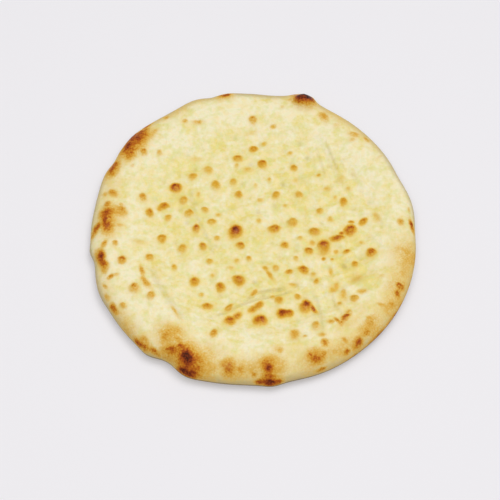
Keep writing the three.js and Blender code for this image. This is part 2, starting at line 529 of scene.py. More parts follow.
@dataclass(frozen=True)
class DockedMiddle:
    """The thinner middle, docked in slanting rows, and quilted into pillows between the holes.

    quilted holds the places where the quilting is strong: X, Y, the reach in X and in Y, and the
    strength. Elsewhere it is patchy. Cells and pitches are in mm, and tilt is the rows' angle.
    """

    centre: Pair = (5.0, 2.0)
    radius: float = 66.0
    slope: float = 26.0
    pitch: float = 12.0
    tilt: float = 24.5
    start: Pair = (2.7, -5.9)
    sway: float = 1.8
    sway_cell: float = 30.0
    least_rise: float = 0.35
    most_rise: float = 1.3
    flattening: float = 0.3
    row_shares: Pair = (0.42, 0.58)
    row_seeds: tuple[int, int] = (11, 12)
    hole_depth: float = 0.75
    hole_width: float = 0.14
    hole_shares: Pair = (-0.4, 1.2)
    hole_seed: int = 78
    faintest_hole: float = 0.25
    quilted: Rows = ((52, -36, 40, 36, 1), (44, 46, 34, 34, 0.45))
    least_strength: float = 0.15
    patches: Cloud = Cloud(0.15, 34.0, 21, 2)
    fold_sway: float = 1.2
    fold_cell: float = 13.0
    fold_seeds: tuple[int, int] = (31, 32)
    ripple_seed: int = 300
    creases: tuple[Crease, ...] = (
        Crease(((-8, -56), (-2, -50.5), (4, -46), (13, -43.8), (24, -42.5)), 1.2, 2.0, 0.8),
        Crease(((-26, -64), (-16, -60), (-8, -56), (2, -52.5), (14, -48), (28, -45)), 1.1, 2.2, 1.4),
        Crease(((-68, -26), (-62, -42), (-55, -54), (-50, -62), (-43, -72)), 0.7, 6.0, 0.9),
        Crease(((-44, 36), (-38, 14), (-34, 1), (-29, -10), (-24, -22)), 0.6, 2.8, 0.4),
        Crease(((37, -43), (41, -54), (43, -66), (44, -82)), 0.75, 3.2, 0.7),
        Crease(((49, -45), (52, -56), (58, -67)), 0.6, 3.0, 0.5),
        Crease(((44, 68), (46, 58), (48, 48), (50, 40)), 0.7, 2.2, 0.6),
        Crease(((50, 72), (53, 62), (57, 50), (59, 44)), 0.65, 2.0, 0.5),
        Crease(((58, 60), (62, 50), (65, 42)), 0.35, 2.0, 0.25),
        Crease(((66, 11), (74, 13), (82, 12), (85, 6), (86, -2)), 0.4, 2.0, 0.3),
        Crease(((-34, -79), (-30, -85), (-24, -87.5), (-16, -87.5)), 0.4, 1.6, 0.2),
    )
    ripples: tuple[Ripples, ...] = (
        Ripples(56.0, 50.0, 22.0, 20.0, -68.0, 3.2, 0.6),
        Ripples(14.0, -47.0, 32.0, 10.0, 17.0, 3.0, 0.8),
        Ripples(62.0, -32.0, 24.0, 28.0, 24.0, 3.8, 0.55),
        Ripples(88.0, -20.0, 28.0, 8.0, -78.0, 3.4, 0.5),
        Ripples(0.0, 10.0, 34.0, 30.0, 24.0, 3.6, 0.25),
        Ripples(-28.0, -20.0, 22.0, 22.0, -65.0, 3.6, 0.2),
        Ripples(30.0, -80.0, 26.0, 12.0, 10.0, 3.4, 0.25),
    )

    def rim_share(self, x: Array, y: Array) -> Array:
        """Give 0 over the docked middle and 1 on the rim, by a smooth step of the distance."""
        distance = np.hypot(x - self.centre[0], y - self.centre[1])
        return smoothstep(distance, self.radius, self.radius + self.slope)

    def rows(self, x: Array, y: Array) -> tuple[Array, Array]:
        """Count places in rows of pillows: whole numbers are the pillows' middles.

        Args:
            x: The places' X in mm.
            y: The places' Y in mm.

        Returns:
            The two counts. The plan is turned by the rows' tilt, and swayed so that no row is straight.
        """
        u, v = turned(x, y, self.tilt)
        u = u - self.start[0] + self.sway * Swell(self.sway_cell, self.row_seeds[0]).at(x, y)
        v = v - self.start[1] + self.sway * Swell(self.sway_cell, self.row_seeds[1]).at(x, y)
        return u / self.pitch, v / self.pitch

    def strength(self, x: Array, y: Array) -> Array:
        """Give how strongly the dough is quilted: most on the right, and patchy elsewhere.

        Args:
            x: The places' X in mm.
            y: The places' Y in mm.

        Returns:
            The strength, 0 to 1: the patches and the quilted places' mounds, added up.
        """
        strength = self.least_strength + self.patches.at(x, y)
        for at_x, at_y, reach_x, reach_y, most in self.quilted:
            strength += most * mound(x, y, (at_x, at_y), (reach_x, reach_y))
        return np.clip(strength, 0.0, 1.0)

    def pillows(self, x: Array, y: Array) -> Array:
        """Give the pillows' height: the two rows' cosines, flattened on top, and uneven in strength.

        Args:
            x: The places' X in mm.
            y: The places' Y in mm.

        Returns:
            The height in mm, about 0 on average.
        """
        u, v = self.rows(x, y)
        wave = self.row_shares[0] * np.cos(TURN * u) + self.row_shares[1] * np.cos(TURN * v)
        rise = self.least_rise + (self.most_rise - self.least_rise) * self.strength(x, y)
        return rise * (wave - self.flattening * wave * np.abs(wave))

    def holes(self, x: Array, y: Array) -> Array:
        """Give the docked holes, 0 to 1: small humps half way between the pillows, some healed over.

        Args:
            x: The places' X in mm.
            y: The places' Y in mm.

        Returns:
            The hole's share of its full depth, by a seeded draw for each hole.
        """
        u, v = self.rows(x, y)
        share = np.random.default_rng(self.hole_seed).uniform(*self.hole_shares, DRAWN).clip(0.0)
        column = np.floor(u).astype(int)
        row = np.floor(v).astype(int)
        away = np.hypot(u - column - 0.5, v - row - 0.5)
        holes = share[column % DRAWN[0], row % DRAWN[1]] * hump(away, self.hole_width)
        clear = self.faintest_hole + (1.0 - self.faintest_hole) * self.strength(x, y)
        return holes * clear * (1.0 - self.rim_share(x, y))

    def wrinkles(self, x: Array, y: Array) -> Array:
        """Add up the heights of all the ripples, in mm."""
        return sum(stretch.height(x, y, self.ripple_seed + k) for k, stretch in enumerate(self.ripples))

    def folds(self, x: Array, y: Array) -> tuple[Array, Array]:
        """Give the deepest crease and the highest lift, swayed a little so that no crease is straight.

        Args:
            x: The places' X in mm.
            y: The places' Y in mm.

        Returns:
            The creases' depth and their lift in mm.
        """
        sx = x + self.fold_sway * Swell(self.fold_cell, self.fold_seeds[0]).at(x, y)
        sy = y + self.fold_sway * Swell(self.fold_cell, self.fold_seeds[1]).at(x, y)
        folds = np.array([crease.fold(sx, sy) for crease in self.creases])
        return folds[:, 0].max(axis=0), folds[:, 1].max(axis=0)


@dataclass(frozen=True)
class Blisters:
    """Every blister, scorch and browned stretch of the bread, in rows of mm and degrees.

    middle and rim hold the spots of each tone and form. A row is X and Y in the middle, and on the rim
    the angle and how far in from the widest line, and then the width, and for a long spot its length
    and its heading, which on the rim is 0 along the edge and 90 inwards. A wash is a browned stretch
    of the rim: its angle, its spread, how far in it lies, its width and its bake. A cushion is a pale,
    plump place: X, Y, its width and its length. A bubble is a broad swelling of the rim: X, Y, its
    width and its height.
    """

    middle: tuple[Group, ...] = (
        (SCORCHED, STAIN, ((18.8, -61.2, 3.8, 4.4), (35.2, -55.3, 4.4, 6.4, -60))),
        (DARK, DOME, (
            (-11, -0.2, 10.2, 10.8, 90), (47, -11.4, 8.2, 9.8, 90), (56.2, -5.8, 5.2, 10.2, 8),
            (19.2, -61.7, 7.4, 8.4), (5.3, -66.6, 8.4, 9, 90), (-14.8, -67.2, 6.8, 8.6, 30),
            (33.3, -29.7, 6.6, 6.8), (59.2, -67.2, 5, 8, 48),
        )),
        (DARK, RING, ((-51.9, 34, 9.2), (65, 0.6, 9))),
        (DARK, STAIN, (
            (-11.2, 0.2, 7.4, 8), (-11.8, 1.2, 3.6, 5.4, -30), (47, -11, 6, 7.2, 90),
            (39, -59.2, 2.8, 7.6, -60),
        )),
        (BROWN, DOME, (
            (58.8, -2, 3.4, 4.6, 50), (23.4, -61.8, 6.2, 7), (34, -57.8, 8, 9.6, 100),
            (-9.8, -37.3, 8, 8.8), (-21.1, -42.4, 6.8), (78.2, -16.9, 7, 7.6, 90),
            (6.8, 53.4, 6.8, 7.8, 90), (-59.3, 19.3, 5.4, 8.8, 8), (-37.5, 1.8, 5.8, 6.6, 90),
        )),
        (BROWN, RING, (
            (0.5, 65.2, 6), (-60, -5.8, 6.8), (14.2, 1.8, 8), (36.7, -15.5, 6.6),
            (-85, -25.4, 6.4, 7.2, 120),
        )),
        (BROWN, STAIN, (
            (-9.8, -35.8, 4.4, 7.6), (62, -15.8, 3.2, 5.4, 32), (21, -10.8, 4.4), (54, -69.4, 2.2, 6, -52),
            (-85.8, -24.4, 2.4, 4.4, -30),
        )),
        (AMBER, DOME, (
            (3.8, -56.6, 5.2, 8, 48), (-37.7, -38.7, 6.6, 8, 90), (28.2, 49.8, 5.6, 6.6, 90),
            (-9.7, 28.3, 5.8, 6.6, 90), (-40.7, 43, 6.6), (15.6, 28.2, 6), (-73.6, 24.1, 5.8, 6.6, 90),
            (-68.8, 13.1, 6.2, 7.4, 90), (-32.8, -12, 6.6), (-7.5, -11.3, 6.2), (40.6, -0.8, 8),
            (61.2, 22.6, 6, 9, 78), (66.8, -25.2, 5.6, 6.2, 90), (-29.3, -56.8, 6.2, 8.6, 5),
            (16.7, -52.2, 5.4, 6.4, -20), (28.9, -49.6, 4.8, 5.4), (-25, -78.8, 5, 8.6, 62),
            (65.4, -51.9, 5.6, 6.2, 50), (23.9, -31, 4.2, 6, 5), (-76.8, -46.2, 8.2),
            (-74.2, 60.2, 5.2, 6.2, 100),
        )),
        (AMBER, RING, (
            (73.7, 7.2, 5.8, 7, 40), (-9.8, 57.2, 6, 7, 20), (-27.5, 7.3, 6, 6.4),
            (-15.4, -58, 4.8, 8.4, 42), (-67.6, -21.1, 5.6, 6.6, 110), (0.3, 87.6, 5.6, 6.4, 90),
        )),
        (AMBER, STAIN, (
            (-10.4, -64.4, 5.4, 8.4, 42), (-0.4, -59.5, 4.4, 7.4, 25), (-41.3, 15, 3.2, 4.8, -45),
            (56.2, -71.8, 3.2, 5, 90), (-69, -42.4, 5.2, 10, -55), (-72.2, -33, 2.8, 9, -75),
            (65.6, 6.7, 2.6, 4), (46.6, -21.1, 2.8),
        )),
        (GOLDEN, DOME, (
            (-13.1, 38.6, 5.6, 6.8, 90), (-24.9, 35.7, 7.2, 9.6, 90), (-30.2, 47.8, 7.4),
            (31.2, 28.3, 6.4), (-46.6, 23.5, 6.6, 7.8, 90), (-43, 13.3, 7), (-56.3, 9.9, 6, 7, 80),
            (-31.8, 16.6, 5.8, 6.6), (-46.3, -13.7, 7.4, 8.8, 90), (-23.8, -5.9, 4.4, 5.4),
            (26.5, 7, 8, 9, 60), (44.8, 15.3, 6), (-28.4, -23.2, 5.2), (-2.6, -21.2, 3.8, 5.4, 90),
            (28.4, -21.3, 4.4, 5.2, 90), (13, -50.4, 3.8, 5), (41.2, -38.4, 4, 6, 85),
            (39.9, -72.9, 5.6, 8, 100), (-51.5, -28.2, 4.2, 6, 90), (-65.6, -51.9, 5.6, 7.6, 80),
            (-83.4, -58.8, 4.8),
        )),
        (GOLDEN, RING, ((15.1, -28.7, 5.2), (-90.5, -12.5, 4.2, 5, 90))),
        (GOLDEN, STAIN, (
            (47, -13, 9, 12, 90), (52, -5.8, 3.6, 5), (-62.2, 16.6, 4.2), (27.6, 5, 3.4, 4.6, 100),
            (8.2, -28.7, 4.2, 5.4, -50), (11.2, -33.6, 3.2, 9, -58), (26.2, -40.7, 3.4, 6.4, 5),
            (61.2, -63.6, 4.2, 6.6, 60), (49.8, -70.1, 3.6, 5.6), (26.6, -78.9, 6.6, 9.4, 80),
            (17.4, -91.3, 4.8, 5.4), (-36.4, 84.7, 3), (-46.8, 85.9, 3.6, 4.4), (14.4, 82.3, 3.6, 4.6, 20),
            (7.8, 69.4, 4.4, 5.6, 20), (25.6, 61.8, 4.2), (44.8, 43.4, 3.4, 4), (39.5, -9.2, 4.8),
            (0.8, -47.6, 3.8, 6.8, 45), (39.5, -33, 4.8), (52.2, -22, 2.8), (55, -15.6, 3.8),
            (54.2, -41.6, 4.6, 7, 60), (51.8, -44.4, 5.2, 6), (70.6, -47, 4, 7), (56, -55.8, 3.8),
            (44, -80, 4, 5.4), (33, -80.6, 2.2, 3),
        )),
        (PALE, DOME, ((-63.5, 59, 4.2, 5.6, 90), (98.9, 4.8, 4.6), (31.3, -5.9, 4.2))),
        (PALE, STAIN, (
            (-10.8, 51.8, 3.4, 5.2, 90), (21, -11.2, 7.6), (-38.4, 84.9, 4.6, 10), (-3.2, 48.5, 6.6, 7.6),
            (2, 35.2, 3.4, 5.8, 90), (11.2, 39.6, 3.2, 5.4, 90), (5, 24, 5.2), (21.6, 19.4, 3.8),
            (4, 7.6, 4, 6.2, 90), (51.8, 9, 4.6, 6, 90), (50.4, 32.6, 5, 7), (55.5, 26, 3.2, 4.6, 70),
            (64.4, 33, 4.4), (-36.6, 28, 3.6, 5.4, 90), (-23.2, 12.5, 4), (-26.2, -34.3, 4.8, 5.6, 60),
            (-10.4, -23, 4.8, 5.6, 90), (-14.4, -28, 2.8, 5.6), (-33.2, -48.3, 4.4),
            (51.2, -31.2, 4.2, 7, 95), (71.7, -9, 4, 5), (58.6, -49, 6.4, 11, 100), (68.6, -36.4, 7.6, 9),
            (82.6, 9.6, 5, 10, 105), (-49.8, -63.2, 3, 11, -62),
        )),
        (FAINT, STAIN, (
            (15.8, -90.2, 8, 10), (29, 39.6, 5.6), (60.2, 40.8, 6, 7, 90), (-38.4, 56.5, 5, 11),
            (83.6, -37, 4, 7, 10), (35.6, 16.4, 4.4), (-75, -10.4, 5, 12), (-1.6, 77.4, 4.4, 12, 20),
        )),
    )
    rim: tuple[Group, ...] = (
        (CHARRED, SCAB, ((71.2, 11.4, 11.6, 18.6),)),
        (CHARRED, STAIN, ((71.2, 9.6, 8.4, 15),)),
        (SCORCHED, STAIN, (
            (178, 13, 5, 10), (246.6, 11.2, 12, 13.4, 90), (247.8, 3, 7.4, 13), (247, 2.6, 4.4, 8),
            (249.4, 2.4, 5, 8.6), (275.2, 10.8, 5.4, 6.4), (275.4, 2.8, 6.8, 15), (276, 2.4, 4.2, 8),
        )),
        (DARK, RING, ((335.4, 8.2, 4.8, 7, 90),)),
        (DARK, STAIN, (
            (1.8, 5, 3.6, 10, 14), (70.4, 12.6, 4, 8), (139.8, 9.4, 13.6, 28), (142.8, 7.6, 7, 13, 6),
            (135.4, 7, 6.4, 11, 4), (139.6, 4, 5, 22), (152.8, 7, 8.4, 15, 4), (175.2, 13.2, 9.2, 12),
            (180, 14.2, 8.6, 11, 10), (180.4, 6.6, 5.6, 13, -38), (192.8, 8, 6.8, 10.6), (230, 3, 5.4, 14),
            (246.4, 10.4, 12, 15, 90), (243.6, 13.4, 7, 8.4), (247.6, 8, 7, 12, 90), (250.6, 3.6, 5.4, 12),
            (275.2, 11, 9.6, 10.4), (272.8, 3, 4.6, 8), (273.6, 2.6, 4.6, 8), (332.4, 7.4, 4.6, 6, 10),
        )),
        (BROWN, BUBBLE, ((99.8, 7, 5.4, 12, 8),)),
        (BROWN, SCAB, ((71.6, 15, 7.8, 16.4),)),
        (BROWN, STAIN, (
            (75.4, 4, 3.4, 6), (133, 8, 5, 7, 20), (131.6, 4.4, 5, 9), (196.4, 9.4, 6, 10, 6),
            (213.4, 4.8, 4.8, 9, -5), (241, 8.2, 11, 13), (249, 8.2, 9.6, 14), (261.6, 9, 5.4, 6.6),
            (278.4, 2.6, 3.6, 7), (275.4, 6.2, 6, 13), (292.4, 8.8, 8, 12.4, -14), (293, 2.8, 3.2, 9),
            (303.2, 5.6, 4, 5.4), (308.2, 6, 8.4, 9.4),
        )),
        (AMBER, DOME, ((169.9, 12.6, 5.2, 5.8),)),
        (AMBER, STAIN, (
            (140, 10.2, 13.4, 31), (145.4, 12.6, 7.4, 10, 10), (164.3, 14.4, 5.2, 7.4, 60),
            (172.6, 22.2, 8, 10, 15), (176.4, 15, 14, 22), (187.6, 13, 3.6, 7, -30),
            (202.2, 13.2, 3.2, 5, 100), (235.6, 4, 5, 12), (236, 15, 7, 9), (240.4, 15.6, 6, 9),
            (246.4, 10, 20, 27), (251.4, 8, 5, 7), (261.6, 9.4, 10.6, 15, 90), (266, 9.6, 6, 7, -30),
            (270.5, 7, 4.6, 6), (276, 12.8, 14, 20), (290.6, 13, 4, 7, 60), (295.2, 10.4, 5, 7, 20),
            (297.8, 17.2, 5.4, 6.4, 60), (312.4, 7.6, 5, 8),
        )),
        (GOLDEN, RING, ((317.2, 12.4, 6, 7, 90),)),
        (GOLDEN, STAIN, (
            (2.8, 13.2, 4.8, 5.6), (42.4, 7, 4, 6.6), (47.4, 11.2, 5.4, 9, 30),
            (61.5, 12.6, 6.6, 10.6, -42), (123.5, 7, 4.4, 5.6), (129.6, 4, 4.4, 9), (132, 13, 8, 10),
            (153.6, 7, 10, 20), (165.2, 8.6, 4.4, 5), (179.2, 23.2, 3, 6, 90), (199, 9.6, 4.6, 6),
            (205, 7.6, 2.6, 5.6, 20), (209, 5, 4, 8), (230.6, 7, 6, 15), (237.4, 18, 15, 20),
            (252.6, 9, 16, 24), (261.4, 10.6, 13, 18), (292, 12, 13, 17), (304.8, 11.8, 3.2, 6.6, 90),
            (299.4, 8.8, 3.4, 4.4), (324.8, 13, 4, 6.4, 90), (327, 7.6, 7, 10),
        )),
        (PALE, STAIN, (
            (8.2, 6.5, 3, 5), (76, 11, 5, 6), (100.6, 8.4, 8, 17), (149, 18, 3.4),
            (169.4, 21.4, 3.4, 4.4, 20), (176.6, 16, 16, 28), (202.4, 17, 3.4, 4.4, 90),
        )),
        (FAINT, STAIN, (
            (33.5, 9, 2.6, 9, 90), (46, 16, 5, 8, 60), (55, 14, 6), (78, 17, 4), (109.5, 7, 3.4, 5, 90),
            (137, 31, 4), (184, 14, 4, 4),
        )),
    )
    washes: Rows = (
        (346, 12, 9, 12, 0.22), (330, 13, 8, 11, 0.23), (283, 9, 18, 8, 0.17), (316, 11, 8, 8, 0.24),
        (302, 10, 8, 8, 0.24), (286, 10, 8, 8, 0.2), (268, 11, 10, 9, 0.25), (250, 10, 12, 13, 0.3),
        (237, 6, 16, 9, 0.26), (222, 10, 6, 7, 0.19), (205, 10, 6, 6, 0.13), (166, 13, 12, 10, 0.15),
        (314, 12, 20, 8, 0.13), (141, 10, 10, 9, 0.2), (117, 14, 7, 7, 0.14), (56, 28, 8, 7, 0.12),
        (320, 26, 0, 3.2, 0.38),
    )
    cushions: Rows = (
        (47.4, -38.6, 5, 8), (60, -11.2, 5, 5), (48, -48.6, 4, 5), (57.8, 32.4, 5, 5), (75, 32, 4, 6.5),
        (85, 34, 8, 15), (79.4, 4.6, 4.5, 5), (52.4, 15.4, 4.5, 5), (63.5, -29, 4, 4), (33, -73, 7, 9),
        (31, -11, 5, 5), (-2, -79, 14, 10), (27, 94, 26, 12), (-31, 87, 14, 8),
    )
    bubbles: Rows = (
        (36.4, 103.6, 15, 6.3), (-81, 70, 24, 1.6), (-96, 9, 22, 1.8), (-98, -24, 14, 1.3),
        (-52, -76, 18, 1.4), (-43, -93, 28, 2.4), (-14, -98, 16, 1.1), (9, -99, 22, 1.7),
        (41, -92, 24, 1.7), (68, -82, 18, 1.3), (94, -40, 26, 1.1),
    )
    bubble_steepness: float = 1.4
    freckle_seed: int = 77
    freckle_share: float = 0.3
    freckle_tones: Pair = (0.05, 0.14)
    freckle_offset: float = 0.16
    freckle_width: float = 0.18

    def spots(self, outline: Outline, slack: float) -> list[Spot]:
        """Make every spot, at its place on the skin.

        Args:
            outline: The bread's outline.
            slack: How much longer the skin is than the plan, from the middle to the widest line.

        Returns:
            The middle's spots, and the rim's, which are laid in from the edge and turned with it.
        """
        spots = [Spot(*row[:3], tone, form, *row[3:]) for tone, form, rows in self.middle for row in rows]
        for tone, form, rows in self.rim:
            edges = outline.radius(np.array([float(row[0]) for row in rows])) + slack
            for edge, (at, inset, width, *slant) in zip(edges, rows):
                length, heading = (*slant, 0.0, 0.0)[:2]
                x, y = ((edge - inset) * turned for turned in unit(at))
                spots.append(Spot(x, y, width, tone, form, length, at + 90.0 + heading))
        return spots

    def washed(self, angle: Array, inset: Array) -> Array:
        """Give how brown the washes are: for the brownest, a hump across the rim times one along it.

        Args:
            angle: The places' angles in degrees.
            inset: How far in from the widest line they lie.

        Returns:
            The bake, 0 to 1.
        """
        brown = np.zeros_like(angle)
        for at, spread, middle, width, tone in self.washes:
            along = hump(away_from(angle, at), spread)
            brown = np.maximum(brown, tone * along * hump(inset - middle, width))
        return brown

    def plump(self, x: Array, y: Array) -> Array:
        """Give 0 to 1 over the pale, plump cushions: a mound on each."""
        mounds = [mound(x, y, row[:2], (0.5 * row[2], 0.5 * row[3])) for row in self.cushions]
        return np.max(mounds, axis=0)

    def swollen(self, x: Array, y: Array) -> Array:
        """Give the height of the rim's broad bubbles.

        Args:
            x: The places' X in mm.
            y: The places' Y in mm.

        Returns:
            The height in mm: for each bubble, e to the power of minus the steepness times the cube
            of the distance over half the width, so that it is flat on top.
        """
        height = np.zeros_like(x)
        for at_x, at_y, width, rise in self.bubbles:
            away = np.hypot(x - at_x, y - at_y) / (0.5 * width)
            height += rise * np.exp(-self.bubble_steepness * away**3)
        return height

    def freckles(self, u: Array, v: Array) -> Array:
        """Brown some of the pillows' tops faintly, by a seeded draw for each pillow.

        Args:
            u: The places' counts along the rows.
            v: The places' counts across the rows.

        Returns:
            The bake, 0 to 1: a soft round dot on each pillow that is drawn.
        """
        draw = np.random.default_rng(self.freckle_seed)
        strength = draw.uniform(*self.freckle_tones, DRAWN)
        strength *= draw.uniform(0.0, 1.0, DRAWN) < self.freckle_share
        offset = draw.uniform(-self.freckle_offset, self.freckle_offset, (2, *DRAWN))
        column = np.round(u).astype(int) % DRAWN[0]
        row = np.round(v).astype(int) % DRAWN[1]
        across = u - np.round(u) - offset[0, column, row]
        along = v - np.round(v) - offset[1, column, row]
        return strength[column, row] * hump(np.hypot(across, along), self.freckle_width)


def spots_relief(spots: list[Spot], x: Array, y: Array) -> Array:
    """Add up the spots' heights.

    Args:
        spots: The spots.
        x: The places' X on the skin.
        y: The places' Y on the skin.

    Returns:
        The height in mm.
    """
    height = np.zeros_like(x)
    for spot in spots:
        near = spot.near(x, y)
        height[near] += spot.relief(spot.local(x[near], y[near])[0])
    return height


def spots_bake(spots: list[Spot], x: Array, y: Array) -> Array:
    """Lay the spots' browning over each other, where the brownest counts most.

    Args:
        spots: The spots.
        x: The places' X on the skin.
        y: The places' Y on the skin.

    Returns:
        The fifth powers of the bakes, added up. The bake is the fifth root of the sum.
    """
    powers = np.zeros_like(x)
    for spot in spots:
        near = spot.near(x, y)
        powers[near] += spot.bake(*spot.local(x[near], y[near])).clip(0.0) ** 5
    return powers


@dataclass(frozen=True)
class Plan:
    """Points in rings round the middle: ring k has 6 k points, so that they lie evenly."""

    rings: int

    def rounds(self) -> tuple[Array, Array]:
        """Number the points in the rings, without the middle.

        Returns:
            Each point's ring, counted from 1, and its place in the ring, counted from 0.
        """
        numbers = np.arange(1, self.rings + 1)
        ring = np.repeat(numbers, 6 * numbers)
        return ring, np.arange(ring.size) - 3 * ring * (ring - 1)

    def points(self) -> tuple[Array, Array]:
        """Give each point's ring and its angle in degrees, from the middle outwards."""
        ring, place = self.rounds()
        return np.append(0, ring), np.append(0.0, 360.0 * place / (6 * ring))

    def faces(self) -> Array:
        """Join the rings with triangles that turn anticlockwise seen from above.

        Returns:
            The triangles as point numbers. Each point of a ring has one triangle out of the edge to
            the next point, and one out of the edge back to the ring inside, but not at the six
            corners, where that ring has no edge.
        """
        ring, place = self.rounds()
        start = 1 + 3 * ring * (ring - 1)
        inner_count = np.maximum(6 * (ring - 1), 1)
        inner_start = np.where(ring > 1, 1 + 3 * (ring - 1) * (ring - 2), 0)
        sector, step = place // ring, place % ring
        inner = inner_start + (sector * (ring - 1) + step) % inner_count
        before = inner_start + (sector * (ring - 1) + step - 1) % inner_count
        here = start + place
        after = start + (place + 1) % (6 * ring)
        outward = np.stack([inner, here, after], axis=1)
        inward = np.stack([before, here, inner], axis=1)[step > 0]
        return np.concatenate([outward, inward])

    def last_ring(self) -> Array:
        """Give the numbers of the outermost ring's points."""
        return 1 + 3 * self.rings * (self.rings - 1) + np.arange(6 * self.rings)


@dataclass
class Surface:
    """Points of the bread's surface, in mm, with their places on the skin.

    inset is how far in from the widest line a point lies along the skin, less than 0 below it.
    """

    points: Array
    angle: Array
    skin_x: Array
    skin_y: Array
    inset: Array


@dataclass(frozen=True)
class Section:
    """The bread's section in mm, from the middle to the widest line and round to the underside."""

    middle_height: float = 8.0
    rim_height: float = 12.8
    rim_tilt: float = 1.3
    rim_crest: float = 240.0
    widest_height: float = 5.4
    top_roll: float = 15.0
    under_roll: float = 6.5
    under_lift: float = 0.5

    def rim_top(self, angle: Array) -> Array:
        """Give the rim's height in mm at angles in degrees, higher on one side."""
        return self.rim_height + self.rim_tilt * np.cos(np.radians(angle - self.rim_crest))

    def upper(self) -> Roll:
        """Give the roll from the widest line up to the rim."""
        return Roll(self.top_roll, self.rim_height - self.widest_height)

    def lower(self) -> Roll:
        """Give the roll from the widest line down to the underside."""
        return Roll(self.under_roll, self.widest_height)

    def slack(self) -> float:
        """Give how much longer the skin is than the plan, from the middle to the widest line."""
        return self.upper().whole() - self.top_roll


@dataclass(frozen=True)
class EdgeTanAndShade:
    """How the skin darkens towards the edge, in mm along the skin.

    The darkening is partly the tan of the baked edge, and partly painted shade where the edge turns
    away from the light. Below the widest line it is darker still: partly the baked underside, partly a
    painted contact shadow. It starts at the middle of the reach, which is least at the two sides, and
    more by far or near on the far and the near side, so that the painted shade reaches further in on
    the far side. fade and sole are where the two steps start and end.
    """

    sides: float = 1.5
    far: float = 4.5
    near: float = 1.5
    fade: Pair = (-3.0, 6.0)
    sole: Pair = (-1.0, 0.8)
    sole_more: float = 0.5

    def at(self, angle: Array, inset: Array) -> Array:
        """Give how near the edge places are.

        Args:
            angle: The places' angles in degrees.
            inset: How far in from the widest line they lie.

        Returns:
            0 on the top, 1 at the edge, and 1.5 below the widest line, by two smooth steps.
        """
        across = unit(angle)[1]
        further = self.sides + np.where(across > 0.0, self.far, self.near) * np.abs(across)
        edge = 1.0 - smoothstep(inset - further, *self.fade)
        return edge + self.sole_more * smoothstep(-inset, *self.sole)


